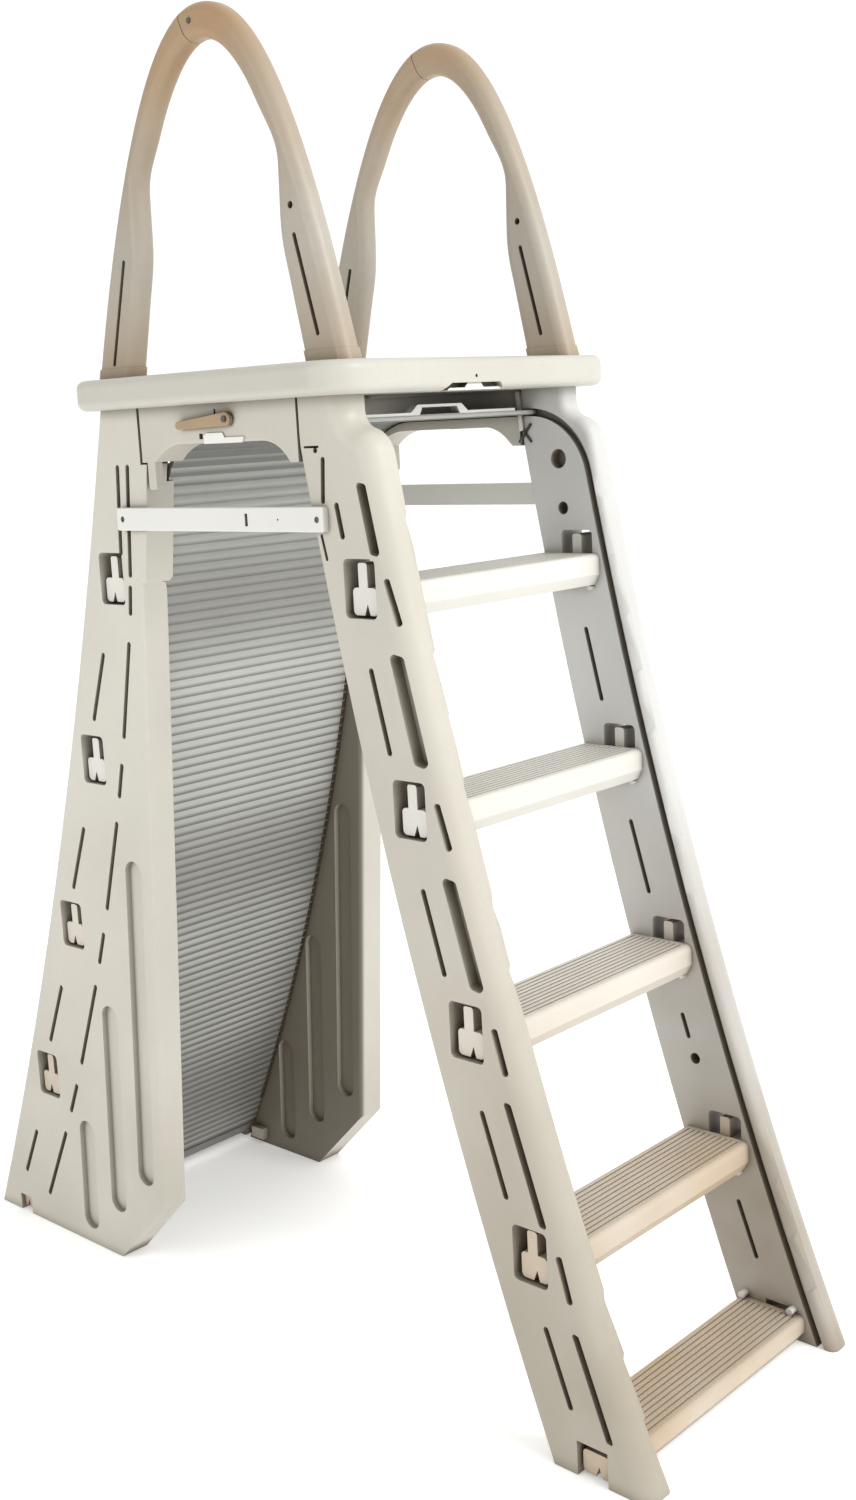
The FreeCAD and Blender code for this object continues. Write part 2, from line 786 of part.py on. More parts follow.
def tread_outline(front, back, top, thick):
    """Section of a tread: round nose, straight front, and a lower face that slopes back."""
    toward = 1 if back > front else -1
    lip = top - thick * 0.66
    slope = 9 * toward
    low = top - thick
    nose = Circle((front + toward * NOSE_RADIUS, top - NOSE_RADIUS), NOSE_RADIUS)
    heel = Circle((back - toward * BACK_RADIUS, top - BACK_RADIUS), BACK_RADIUS)
    nose_side, heel_side = (180, 0) if toward > 0 else (0, 180)
    return [
        circle_arc(nose, nose_side, 90),
        line(nose.at_angle(90), heel.at_angle(90)),
        circle_arc(heel, 90, heel_side),
        line(heel.at_angle(heel_side), (back, low)),
        line((back, low), (front + slope, low)),
        line((front + slope, low), (front, lip)),
        line((front, lip), nose.at_angle(nose_side)),
    ]


def behind(front, inward, near, far):
    """Sorted x range between two distances behind a front edge."""
    return sorted((front + inward * near, front + inward * far))


def add_tenons(body, front, top, inward, number):
    """Block with a forked foot and a raised hook at each end, which sit in the rails' windows."""
    low = max(top - 42, 5)
    high = top - 4
    left, right = behind(front, inward, TENON_INSET, TENON_INSET + TENON_WIDE)
    if number == LOWEST and inward > 0:
        left, right = front + SMALL_TENON[0], front + SMALL_TENON[1]
        high = SMALL_TENON[2]
    block = rounded_box(left, right, low, high, 7)
    pad(body, [block], "2 * (Dimensions.half_span - 7)", symmetric=True)
    end = "(Dimensions.half_span - 7)"
    notch = (left + right) / 2 - inward * 3
    fork = polygon([(notch - 6, low - 2), (notch + 6, low - 2), (notch + 1, low + 16)])
    hook_left, hook_right = behind(front, inward, HOOK_INSET, HOOK_INSET + HOOK_WIDE)
    hook = rounded_box(hook_left, hook_right, top - 12, top + 30, 4)
    for side in (NEAR, FAR):
        face = f"{-side} * {end}"
        if number < LOWEST:
            pad(body, [hook], "Dimensions.rail_thick - 8", face, reverse=side == NEAR)
        pocket(body, [fork], "Dimensions.rail_thick / 2", face, reverse=side == FAR)


def build_tread(label, number, front, depth, inward):
    """A tread that spans the rails, with a hooked tenon at each end that sits in the window."""
    body = new_body(label)
    top = tread_top(number)
    back = front + inward * depth
    outline = tread_outline(front, back, top, tread_thickness(number))
    gap = 0.5
    length = f"2 * (Dimensions.half_span - Dimensions.rail_thick) - {2 * gap}"
    pad(body, [outline], length, symmetric=True)
    add_tenons(body, front, top, inward, number)
    first = front + inward * 14
    spacing = (depth - 26) / (GROOVES - 1)
    grooves = []
    for index in range(GROOVES):
        x = first + inward * spacing * index
        grooves.append(box_outline(x - 1.5, x + 1.5, top - 1.4, top + 1))
    pocket(body, grooves, "2 * (Dimensions.half_span - Dimensions.rail_thick) - 20", symmetric=True)
    return body


# ---------------------------------------------------------------------------------------------------
# Platform, keeper, spreader bars
# ---------------------------------------------------------------------------------------------------

KEEPER_MIDDLE = -27
KEEPER_HALF = 66
KEEPER_TALL = 10


def keeper_outline(half, height, base):
    """Trapezoid that stands on a base level, in the YZ plane."""
    left = KEEPER_MIDDLE - half
    right = KEEPER_MIDDLE + half
    slant = 14
    crest = base + height
    return polygon([(left, base), (right, base), (right - slant, crest), (left + slant, crest)])


def build_platform():
    body = new_body("platform")
    half = size("platform_size") / 2
    plan = rounded_box(-half, half, -half, half, size("platform_corner"))
    pad(body, [plan], "Dimensions.platform_thick", PLATFORM_BASE_RULE, "XY_Plane")
    top, base = size("platform_top"), PLATFORM_BASE
    rim = [Vector(*middle_of(segment), level) for segment in plan for level in (top, base)]
    fillet(body, rim, "Dimensions.platform_thick * 0.28")
    underside = [rounded_box(-150, 160, -200, 200, 20)]
    level = "Dimensions.platform_top - Dimensions.platform_thick"
    pocket(body, underside, "Dimensions.platform_thick * 0.5", level, "XY_Plane", reverse=True)
    notch = keeper_outline(KEEPER_HALF, KEEPER_TALL + 1, base - 1)
    sight = [ring(KEEPER_MIDDLE, base + 19, 2.5)]
    edge = "Dimensions.platform_size / 2"
    pocket(body, [notch, sight], "Dimensions.platform_thick * 0.4", edge, "YZ_Plane")
    for side in (NEAR, FAR):
        for where in ("outer", "pool"):
            drill_studs(body, where, side, "Dimensions.platform_top", "Dimensions.platform_thick + 1")
    return body


def build_keeper():
    """Tongue in the notch of the platform's yard edge, which the barrier's handle hooks over."""
    body = new_body("handle_keeper")
    base = PLATFORM_BASE
    y = KEEPER_MIDDLE
    shoulder = base + 3
    crest = base + KEEPER_TALL
    tongue = [
        (y - KEEPER_HALF + 8, base),
        (y + KEEPER_HALF - 8, base),
        (y + KEEPER_HALF - 14, shoulder),
        (y + 20, shoulder),
        (y + 14, crest),
        (y - 14, crest),
        (y - 20, shoulder),
        (y - KEEPER_HALF + 14, shoulder),
    ]
    start = "Dimensions.platform_size / 2 - 18"
    pad(body, [polygon(tongue)], "Dimensions.platform_thick * 0.28", start, "YZ_Plane")
    return body


BAR_SET_IN = 6


def build_spreader(name, side):
    body = new_body(f"spreader_bar_{name}")
    low = size("bar_base")
    high = low + size("bar_tall")
    half = size("bar_half_length")
    outline = rounded_box(-half + BAR_SET_IN, half, low, high, 3)
    outside = side * (size("half_span") + size("bar_thick"))
    pad(body, [outline], "Dimensions.bar_thick", outer_offset(side), reverse=side == FAR)
    fillet(body, on_faces(outline, outside), "Dimensions.bar_thick / 5")
    face = "{}(Dimensions.half_span + Dimensions.bar_thick)".format("" if side == NEAR else "-")
    holes = [screw_hole(x, BAR_SCREW_LEVEL) for x in BAR_SCREWS.values()]
    pocket(body, holes, "Dimensions.bar_thick + 1", face, reverse=side == FAR)
    marks = [box_outline(73, 79, low + 8, high - 9), [ring(143, BAR_SCREW_LEVEL, 1.5)]]
    seats = [[ring(x, BAR_SCREW_LEVEL, HEAD_RADIUS + FIT)] for x in BAR_SCREWS.values()]
    pocket(body, seats, "Dimensions.bar_thick / 3", face, reverse=side == FAR)
    pocket(body, marks, "Dimensions.bar_thick / 2", face, reverse=side == FAR)
    return body


# ---------------------------------------------------------------------------------------------------
# Handrails: two blow-moulded halves on each side, joined by a sleeve near the top
# ---------------------------------------------------------------------------------------------------

SEAM_X = -12
SEAM_GAP = 1.2
SEAM_SHARES = (-0.13, -0.10)
SEAM_SPREAD = 20
HANDRAIL_SLOT = 7
SHOULDER_X = 151
SHOULDER_Z = 1785
WAIST = (152, 1680)
FOOT_INSIDE = 192
OUTER_POWER = 2.108
INNER_POWER = 2.01
LEAN = 14
LEAN_POWER = 1.2
TUBE_TALL = 49
SLEEVE_RADIUS = 10
SLEEVE_LENGTH = 60
HANDRAIL_TOP = size("platform_top") + size("handrail_rise")
COLLAR_TOP = size("platform_top") + size("collar_tall")
SLEEVE_LEVEL = HANDRAIL_TOP - TUBE_TALL / 2


def lean(level):
    """Shift of a handrail's middle line to the yard side, which grows towards its top."""
    share = max(level - size("platform_top"), 0) / size("handrail_rise")
    return LEAN * share**LEAN_POWER


def outer_spot(share):
    """Point of the outer line. share runs from -1 at the pool foot to 1 at the yard foot."""
    level = HANDRAIL_TOP - size("handrail_rise") * abs(share) ** OUTER_POWER
    return (lean(level) + size("handrail_half_foot") * share, level)


def inner_spot(share):
    """Point of the inner line between the shoulders, which lie at -1 and 1."""
    crown = HANDRAIL_TOP - TUBE_TALL
    level = crown - (crown - SHOULDER_Z) * abs(share) ** INNER_POWER
    return (lean(level) + SHOULDER_X * share, level)


def outside_reach(level):
    """Distance from the middle of the outer line at a level."""
    drop = (HANDRAIL_TOP - level) / size("handrail_rise")
    return size("handrail_half_foot") * drop ** (1 / OUTER_POWER)


def inside_foot(level):
    """Distance from the middle of the inner line of a leg, below its waist."""
    share = (WAIST[1] - level) / (WAIST[1] - size("platform_top"))
    return WAIST[0] + (FOOT_INSIDE - WAIST[0]) * share


def spaced(start, end, count):
    return [start + (end - start) * index / (count - 1) for index in range(count)]


def handrail_outline(hand):
    """Half a loop. hand is +1 for the yard half and -1 for the pool half."""
    foot_share = hand * outside_reach(COLLAR_TOP) / size("handrail_half_foot")
    seam_out, seam_in = SEAM_SHARES
    outer_points = [outer_spot(share) for share in spaced(foot_share, seam_out, 9)]
    inner_points = [inner_spot(share) for share in spaced(seam_in, hand, 7)]
    for level in spaced(SHOULDER_Z - 22, WAIST[1] + 22, 3):
        inner_points.append((lean(level) + hand * (SHOULDER_X + 1), level))
    for level in spaced(WAIST[1] - 16, COLLAR_TOP, 5):
        inner_points.append((lean(level) + hand * inside_foot(level), level))
    if hand < 0:
        outer_points[-1] = (outer_points[-1][0] - SEAM_GAP, outer_points[-1][1])
        inner_points[0] = (inner_points[0][0] - SEAM_GAP, inner_points[0][1])
    return [
        line(inner_points[-1], outer_points[0]),
        curve(outer_points),
        line(outer_points[-1], inner_points[0]),
        curve(inner_points),
    ]


def plane_offset(side):
    return "-Dimensions.handrail_plane" if side == FAR else "Dimensions.handrail_plane"


def build_handrail(name, side, half_name, hand):
    body = new_body(f"handrail_{name}_{half_name}_half")
    outline = handrail_outline(hand)
    pad(body, [outline], "Dimensions.handrail_thick", plane_offset(side), symmetric=True)
    middle = side * size("handrail_plane")
    half = size("handrail_thick") / 2
    rounded = on_faces([outline[1], outline[3]], middle - half, middle + half)
    fillet(body, rounded, "Dimensions.handrail_round")
    bore = [[ring(middle, SLEEVE_LEVEL, SLEEVE_RADIUS + FIT)]]
    start = SEAM_X - hand * SEAM_SPREAD
    pocket(body, bore, f"{SLEEVE_LENGTH / 2 + SEAM_SPREAD}", f"{start}", "YZ_Plane", reverse=hand > 0)
    if hand > 0:
        slot = slot_outline((190, 1681), (226, 1543), HANDRAIL_SLOT)
        recesses = [slot, [ring(187, 1717, 5)], [ring(197, 1830, 2.5)]]
    else:
        recesses = [slot_outline((-183, 1681), (-228, COLLAR_TOP + 3), HANDRAIL_SLOT)]
    for facing in (NEAR, FAR):
        face = f"{-side} * Dimensions.handrail_plane - {facing} * Dimensions.handrail_thick / 2"
        pocket(body, recesses, "Dimensions.handrail_thick / 3", face, reverse=facing == FAR)
    where = "outer" if hand > 0 else "pool"
    stud_level = f"Dimensions.platform_top + {STUD_REACH_UP}"
    holes = [[ring(x, y, size("stud_radius") + FIT)] for x, y in stud_spots(where, side)]
    pocket(body, holes, f"{STUD_REACH_UP}", stud_level, "XY_Plane")
    return body


def build_collar(name, side, half_name, hand):
    body = new_body(f"handrail_collar_{name}_{half_name}")
    base = size("platform_top")
    margin = 1.5
    corners = [
        (hand * (inside_foot(base) - margin), base),
        (hand * (outside_reach(base) + margin), base),
        (hand * (outside_reach(COLLAR_TOP) + margin), COLLAR_TOP),
        (hand * (inside_foot(COLLAR_TOP) - margin), COLLAR_TOP),
    ]
    pad(body, [polygon(corners)], "Dimensions.handrail_thick + 3", plane_offset(side), symmetric=True)
    middle = side * size("handrail_plane")
    half = (size("handrail_thick") + 3) / 2
    uprights = [
        Vector((corners[a][0] + corners[b][0]) / 2, middle + sign * half, (base + COLLAR_TOP) / 2)
        for a, b in ((0, 3), (1, 2))
        for sign in (-1, 1)
    ]
    fillet(body, uprights, "Dimensions.handrail_round")
    where = "outer" if hand > 0 else "pool"
    level = "Dimensions.platform_top + Dimensions.collar_tall"
    drill_studs(body, where, side, level, "Dimensions.collar_tall + 1")
    return body


# ---------------------------------------------------------------------------------------------------
# Barrier
# ---------------------------------------------------------------------------------------------------


JOIN_GAP = 2
LOWER_SLATS = 76
END_BAR_TALL = 20


class Track:
    """The centre line of the track from the floor on the pool side, by its length."""

    def __init__(self):
        foot = pool_track.angle_of((pool_track.at_height(0, 1), 0))
        self.foot = foot
        self.rise = math.radians(pool_join_angle - foot) * pool_track.r
        self.turn = math.radians(180 + pool_join_angle - 90) * pool_bend.r
        self.level = outer_bend.x - pool_bend.x

    def point(self, length):
        """(x, z) and the outward normal at a length along the track."""
        if length < self.rise:
            angle = self.foot + math.degrees(length / pool_track.r)
            spot = pool_track.at_angle(angle)
            turned = math.radians(angle)
            return spot, (-math.cos(turned), -math.sin(turned))
        length -= self.rise
        if length < self.turn:
            angle = 180 + pool_join_angle - math.degrees(length / pool_bend.r)
            turned = math.radians(angle)
            return pool_bend.at_angle(angle), (math.cos(turned), math.sin(turned))
        length -= self.turn
        return (pool_bend.x + length, size("track_level")), (0, 1)

    def beside(self, length, offset):
        (x, z), (nx, nz) = self.point(length)
        return (x + nx * offset, z + nz * offset)


track = Track()
TRAVEL = size("travel_slats") * size("slat_pitch")
LOWER_END = track.rise - TRAVEL - JOIN_GAP
LOWER_START = LOWER_END - LOWER_SLATS * size("slat_pitch")
UPPER_START = LOWER_END + 0.3
UPPER_END = track.rise + track.turn + track.level - 14


def slatted_strip(start, end, count):
    """Closed outline of a strip of slats: every slat bulges a little on both faces."""
    crest = size("slat_thick") / 2
    neck = crest - 1.6
    step = (end - start) / count
    front, back = [], []
    for index in range(count):
        low = start + index * step
        high = low + step
        middle = low + step / 2
        offsets = ((low, neck), (middle, crest), (high, neck))
        front.append(arc(*[track.beside(length, offset) for length, offset in offsets]))
        back.append(arc(*[track.beside(length, -offset) for length, offset in reversed(offsets)]))
    tip = line(end_of(front[-1]), start_of(back[-1]))
    root = line(end_of(back[0]), start_of(front[0]))
    return front + [tip] + back[::-1] + [root]


def build_strip(label, start, end, count, half_length):
    """A strip of slats as one sheet, extruded across the ladder."""
    edges = []
    for segment in slatted_strip(start, end, count):
        points = [Vector(x, -half_length, z) for x, z in segment[1:]]
        if segment[0] == "arc":
            edges.append(Part.Arc(*points).toShape())
        else:
            edges.append(Part.makeLine(*points))
    face = Part.Face(Part.Wire(edges))
    strip = doc.addObject("Part::Feature", label)
    strip.Label = label
    strip.Shape = face.extrude(Vector(0, 2 * half_length, 0))
    strip.setExpression("Placement.Base.x", SHIFT)
    parts.append(strip)
    return strip


def build_end_bar():
    """Stiff bar at the foot of the barrier."""
    body = new_body("barrier_end_bar")
    start = LOWER_START - END_BAR_TALL
    end = LOWER_START - 0.3
    half = 5
    ends = ((start, half), (end, half), (end, -half), (start, -half))
    corners = [track.beside(length, offset) for length, offset in ends]
    pad(body, [polygon(corners)], "2 * Dimensions.slat_half_length - 2", symmetric=True)
    return body


LEAD_WIDE = 18
LEAD_START = outer_bend.x - 10


def build_lead_slat():
    """The last slat, which runs in the track and carries the lead bar."""
    body = new_body("barrier_lead_slat")
    level = size("track_level")
    outline = rounded_box(LEAD_START, LEAD_START + LEAD_WIDE, level - 4, level + 4, 3)
    pad(body, [outline], "2 * Dimensions.slat_half_length", symmetric=True)
    return body


BAR_HALF = 172
GRIP_HALF_FOOT = 62
GRIP_HALF_TOP = 48
GRIP_TALL = 15


def build_lead_bar():
    """Front bar of the barrier, with a raised trapezoid grip."""
    body = new_body("barrier_lead_bar")
    base = size("track_level") + 4
    bar = base + 4
    top = base + GRIP_TALL
    outline = [
        (-BAR_HALF, base),
        (BAR_HALF, base),
        (BAR_HALF, bar),
        (GRIP_HALF_FOOT, bar),
        (GRIP_HALF_TOP, top),
        (-GRIP_HALF_TOP, top),
        (-GRIP_HALF_FOOT, bar),
        (-BAR_HALF, bar),
    ]
    thick = 14
    pad(body, [polygon(outline)], f"{thick}", f"{LEAD_START + 2}", "YZ_Plane")
    grip_hole = [polygon([(-44, base + 0.5), (44, base + 0.5), (38, top - 4), (-38, top - 4)])]
    pocket(body, grip_hole, f"{thick + 1}", f"{LEAD_START + 2}", "YZ_Plane", reverse=True)
    return body


# ---------------------------------------------------------------------------------------------------
# Small pieces
# ---------------------------------------------------------------------------------------------------


def group_of(label, shapes):
    """Identical loose pieces as one node of separate solids."""
    group = doc.addObject("Part::Feature", label)
    group.Label = label
    group.Shape = Part.makeCompound(shapes)
    group.setExpression("Placement.Base.x", SHIFT)
    parts.append(group)
    return group


def rod(x, y, z, direction, radius, length):
    return Part.makeCylinder(radius, length, Vector(x, y, z), direction)


def side_screw(x, z, face, side, length):
    """Pan-head screw driven towards the middle of the ladder from a face at |y| = face."""
    inwards = Vector(0, -side, 0)
    shank = rod(x, side * face, z, inwards, size("screw_radius"), length)
    head = rod(x, side * (face + HEAD_TALL), z, inwards, HEAD_RADIUS, HEAD_TALL)
    return head.fuse(shank).removeSplitter()


def build_spreader_screws():
    face = size("half_span") + size("bar_thick") * 2 / 3
    reach = size("bar_thick") * 2 / 3 + SCREW_DEPTH - 4
    spots = [(x, side) for side in (NEAR, FAR) for x in BAR_SCREWS.values()]
    group_of("spreader_screws", [side_screw(x, BAR_SCREW_LEVEL, face, side, reach) for x, side in spots])


def build_leg_studs():
    """Vertical studs that tie rail, platform, collar and handrail leg together."""
    bottom = PLATFORM_BASE - STUD_REACH_DOWN + 2
    length = size("platform_top") + STUD_REACH_UP - 2 - bottom
    up = Vector(0, 0, 1)
    spots = []
    for side in (NEAR, FAR):
        spots += stud_spots("outer", side) + stud_spots("pool", side)
    studs = [rod(x, y, bottom, up, size("stud_radius"), length) for x, y in spots]
    group_of("leg_studs", studs)


def build_sleeves():
    """Round plugs that join the two halves of each handrail."""
    start = SEAM_X - SLEEVE_LENGTH / 2 + 1
    along = Vector(1, 0, 0)
    length = SLEEVE_LENGTH - 2
    planes = [side * size("handrail_plane") for side in (NEAR, FAR)]
    plugs = [rod(start, y, SLEEVE_LEVEL, along, SLEEVE_RADIUS, length) for y in planes]
    group_of("handrail_sleeves", plugs)


def build_tread_pegs():
    """Short pegs on the rails' inner faces, under the front corner of every upper tread end."""
    radius = 4
    length = 9
    shapes = []
    for side in (NEAR, FAR):
        for number in TREAD_NUMBERS[:-1]:
            z = tread_top(number) - size("tread_thick") - radius - 0.2
            for x in (outer_tread_front(number) - 16, pool_tread_front(number) + 16):
                shapes.append(rod(x, side * INNER_FACE, z, Vector(0, -side, 0), radius, length))
        for x in (outer_tread_front(LOWEST) - 20, outer_tread_front(LOWEST) - 106):
            z = tread_top(LOWEST) + radius + 2
            shapes.append(rod(x, side * INNER_FACE, z, Vector(0, -side, 0), radius + 2, length + 3))
    group_of("tread_pegs", shapes)


def build_track_stops():
    """Blocks on the skirts that hold the foot of the barrier."""
    tall, deep, long = 22, 12, 34
    shapes = []
    for side in (NEAR, FAR):
        low_y = side * INNER_FACE if side == NEAR else side * INNER_FACE - deep
        shapes.append(Part.makeBox(long, deep, tall, Vector(-592, low_y, 12)))
    group_of("track_stops", shapes)


LEVER_REACH = 112
LEVER_THICK = 7
LEVER_GAP = 2.4


def build_lever():
    """Turn lever on the outer face of the near bridge panel, pointing to the pool side at rest."""
    body = new_body("lock_lever")
    x, z = LEVER_PIVOT
    hub = Circle((x, z), 10)
    tip = Circle((x - LEVER_REACH + 6, z - 6), 6)
    outline = [
        circle_arc(hub, 100, -100),
        line(hub.at_angle(-100), tip.at_angle(-90)),
        circle_arc(tip, -90, -270),
        line(tip.at_angle(-270), hub.at_angle(100)),
    ]
    offset = f"Dimensions.half_span + {LEVER_GAP}"
    pad(body, [outline], f"{LEVER_THICK}", offset)
    face = f"Dimensions.half_span + {LEVER_GAP + LEVER_THICK}"
    pocket(body, [screw_hole(x, z)], f"{LEVER_THICK + 1}", face)
    front = -size("half_span") - LEVER_GAP - LEVER_THICK
    fillet(body, on_faces(outline, front), "1.5")
    return body


CLIP_THICK = 2


def build_bridge_clips():
    """White latch plates on the outer faces of the bridge panels, over the top of the arch."""
    outline = [(-16, 1406), (68, 1406), (72, 1414), (30, 1414), (26, 1421), (-10, 1421), (-16, 1417)]
    shapes = []
    for side in (NEAR, FAR):
        face = side * size("half_span")
        points = [Vector(x, face, z) for x, z in outline]
        plate = Part.Face(Part.makePolygon(points + points[:1]))
        shapes.append(plate.extrude(Vector(0, side * CLIP_THICK, 0)))
    group_of("bridge_clips", shapes)


def build_lever_pivot():
    x, z = LEVER_PIVOT
    face = size("half_span") + LEVER_GAP + LEVER_THICK + 0.3
    group_of("lever_pivot", [side_screw(x, z, face, NEAR, SCREW_DEPTH)])


def build_seam_screws():
    """Heads of the screws through the handrail joint."""
    face = size("handrail_plane") + size("handrail_thick") / 2
    shapes = []
    for side in (NEAR, FAR):
        shapes.append(rod(6, side * face, SLEEVE_LEVEL, Vector(0, side, 0), 4, 1.5))
    group_of("seam_screws", shapes)


# ---------------------------------------------------------------------------------------------------
# The whole ladder
# ---------------------------------------------------------------------------------------------------

for name, side in SIDES:
    build_outer_rail(name, side)
    build_pool_rail(name, side)
    build_bridge(name, side)
    build_spreader(name, side)
    for half_name, hand in (("outer", 1), ("pool", -1)):
        build_handrail(name, side, half_name, hand)
        build_collar(name, side, half_name, hand)

for number in TREAD_NUMBERS:
    front = outer_tread_front(number)
    build_tread(f"outer_tread_{number}", number, front, size("outer_tread_depth"), -1)
    front = pool_tread_front(number)
    build_tread(f"pool_tread_{number}", number, front, size("pool_tread_depth"), 1)

build_platform()
build_keeper()
build_strip("barrier_curtain", LOWER_START, LOWER_END, LOWER_SLATS, size("slat_half_length"))
upper_count = round((UPPER_END - UPPER_START) / size("slat_pitch"))
build_strip("barrier_curtain_top", UPPER_START, UPPER_END, upper_count, size("slat_half_length"))
build_end_bar()
build_lead_slat()
build_lead_bar()
build_lever()
build_lever_pivot()
build_bridge_clips()
build_spreader_screws()
build_leg_studs()
build_sleeves()
build_seam_screws()
build_tread_pegs()
build_track_stops()

doc.recompute()
for item in doc.Objects:
    if "Invalid" in item.State or "Error" in item.State:
        raise RuntimeError(f"{item.Label} failed: {item.State}")

os.makedirs("parts", exist_ok=True)
for item in parts:
    shape = item.Shape
    if shape.isNull() or not shape.isValid():
        raise RuntimeError(f"{item.Label} has no valid shape")
    shape.exportStep(os.path.join("parts", f"{item.Label}.step"))

print(f"{len(parts)} sub-parts written")
print(f"travel of the barrier {TRAVEL:.0f} mm")
for label, circle in (("pool track", pool_track), ("outer bend", outer_bend), ("pool bend", pool_bend)):
    print(f"{label}: centre x {circle.x:.3f}, z {circle.z:.3f}, radius {circle.r:.3f}")
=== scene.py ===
import math

import bmesh
import bpy
from mathutils import Matrix, Vector


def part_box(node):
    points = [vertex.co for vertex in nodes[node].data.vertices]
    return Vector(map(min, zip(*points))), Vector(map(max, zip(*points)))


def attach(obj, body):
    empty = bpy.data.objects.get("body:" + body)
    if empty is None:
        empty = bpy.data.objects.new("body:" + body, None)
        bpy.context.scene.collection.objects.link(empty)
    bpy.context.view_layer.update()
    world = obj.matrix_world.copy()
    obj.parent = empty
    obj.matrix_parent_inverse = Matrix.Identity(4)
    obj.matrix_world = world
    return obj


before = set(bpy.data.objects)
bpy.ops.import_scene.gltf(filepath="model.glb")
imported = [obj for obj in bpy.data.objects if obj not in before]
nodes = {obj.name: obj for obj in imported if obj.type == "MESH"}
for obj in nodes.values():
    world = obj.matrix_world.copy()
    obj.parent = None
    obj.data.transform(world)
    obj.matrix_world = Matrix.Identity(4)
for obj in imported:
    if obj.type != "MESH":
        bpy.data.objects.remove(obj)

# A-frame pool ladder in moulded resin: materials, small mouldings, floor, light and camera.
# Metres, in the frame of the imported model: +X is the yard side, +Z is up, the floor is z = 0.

scene = bpy.context.scene
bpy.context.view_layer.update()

platform_low, platform_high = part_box("platform")
CENTRE_X = (platform_low.x + platform_high.x) / 2
PLATFORM_BASE = platform_low.z
RAIL_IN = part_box("outer_rail_far")[0].y
SIDES = (("near", -1), ("far", 1))


# ---------------------------------------------------------------------------------------------------
# Node helpers
# ---------------------------------------------------------------------------------------------------


class Graph:
    """Small helper that builds a node material."""

    def __init__(self, name):
        self.material = bpy.data.materials.new(name)
        self.material.use_nodes = True
        self.tree = self.material.node_tree
        self.tree.nodes.clear()
        self.coordinates = self.add("ShaderNodeTexCoord")
        self.output = self.add("ShaderNodeOutputMaterial")
        self.shader = self.add("ShaderNodeBsdfPrincipled")
        self.link(self.shader, "BSDF", self.output, "Surface")

    def add(self, kind, **values):
        node = self.tree.nodes.new(kind)
        for key, value in values.items():
            setattr(node, key, value)
        return node

    def link(self, source, out_name, target, in_name):
        self.tree.links.new(source.outputs[out_name], target.inputs[in_name])

    def mapped(self, scale):
        mapping = self.add("ShaderNodeMapping")
        mapping.inputs["Scale"].default_value = scale
        self.link(self.coordinates, "Object", mapping, "Vector")
        return mapping

    def noise(self, scale, detail=3.0, stretch=(1, 1, 1), roughness=0.5):
        node = self.add("ShaderNodeTexNoise")
        node.inputs["Scale"].default_value = scale
        node.inputs["Detail"].default_value = detail
        node.inputs["Roughness"].default_value = roughness
        self.link(self.mapped(stretch), "Vector", node, "Vector")
        return node

    def remap(self, source, out_name, low, high, to_low, to_high):
        node = self.add("ShaderNodeMapRange")
        node.inputs["From Min"].default_value = low
        node.inputs["From Max"].default_value = high
        node.inputs["To Min"].default_value = to_low
        node.inputs["To Max"].default_value = to_high
        self.link(source, out_name, node, "Value")
        return node

    def mix(self, factor, factor_out, first, second, blend="MIX"):
        """Mixes two colours. Each is a colour tuple or a (node, output name) pair."""
        node = self.add("ShaderNodeMix", data_type="RGBA", blend_type=blend)
        if isinstance(factor, float):
            node.inputs[0].default_value = factor
        else:
            self.tree.links.new(factor.outputs[factor_out], node.inputs[0])
        for slot, colour in ((6, first), (7, second)):
            if isinstance(colour[0], (int, float)):
                node.inputs[slot].default_value = (*colour, 1)
            else:
                self.tree.links.new(colour[0].outputs[colour[1]], node.inputs[slot])
        return node

    def maths(self, operation, first, first_out, second):
        node = self.add("ShaderNodeMath", operation=operation)
        self.link(first, first_out, node, 0)
        if isinstance(second, (int, float)):
            node.inputs[1].default_value = second
        else:
            self.tree.links.new(second[0].outputs[second[1]], node.inputs[1])
        return node

    def bump(self, height, height_out, strength, distance, after=None):
        node = self.add("ShaderNodeBump")
        node.inputs["Strength"].default_value = strength
        node.inputs["Distance"].default_value = distance
        self.link(height, height_out, node, "Height")
        if after is not None:
            self.link(after, "Normal", node, "Normal")
        return node


# ---------------------------------------------------------------------------------------------------
# Materials
# ---------------------------------------------------------------------------------------------------

# Pitch and level of the painted shade bands across the barrier.
BAND_PITCH = 0.48
BAND_LEVEL = 0.67
# Dark brown of the grime and the painted shade in hollows.
HOLLOW_GRIME_AND_SHADE = (0.105, 0.075, 0.043)
# Tone that the rails and skirts darken to towards the bottom.
LOW_DARK_TONE = (0.30, 0.255, 0.19)
# Colour of the painted shade on the inner faces of the far skirt.
INSIDE_PAINTED_SHADE = (0.165, 0.147, 0.108)
TAN = (0.36, 0.23, 0.12)
# Colour of the painted shade towards the bottom of the treads.
TREAD_PAINTED_SHADE = (0.47, 0.355, 0.235)
# Tone that the barrier darkens to towards the bottom.
BARRIER_LOW_TONE = (0.27, 0.27, 0.25)
# Colour of the painted shade bands on the barrier.
PAINTED_BAND_SHADE = (0.17, 0.165, 0.15)
# Colour of the painted shade on the down-facing faces of the barrier's slats.
PAINTED_GROOVE_SHADE = (0.10, 0.10, 0.09)


def height_share(g, position, start, end, strength, patches):
    """Share that grows from 0 at one level to its full strength at another, broken up by patches."""
    ramp = g.remap(position, "Z", start, end, 0.0, strength)
    uneven = g.remap(patches, "Fac", 0.30, 0.65, 0.55, 1.15)
    return g.maths("MULTIPLY", ramp, "Result", (uneven, "Result"))


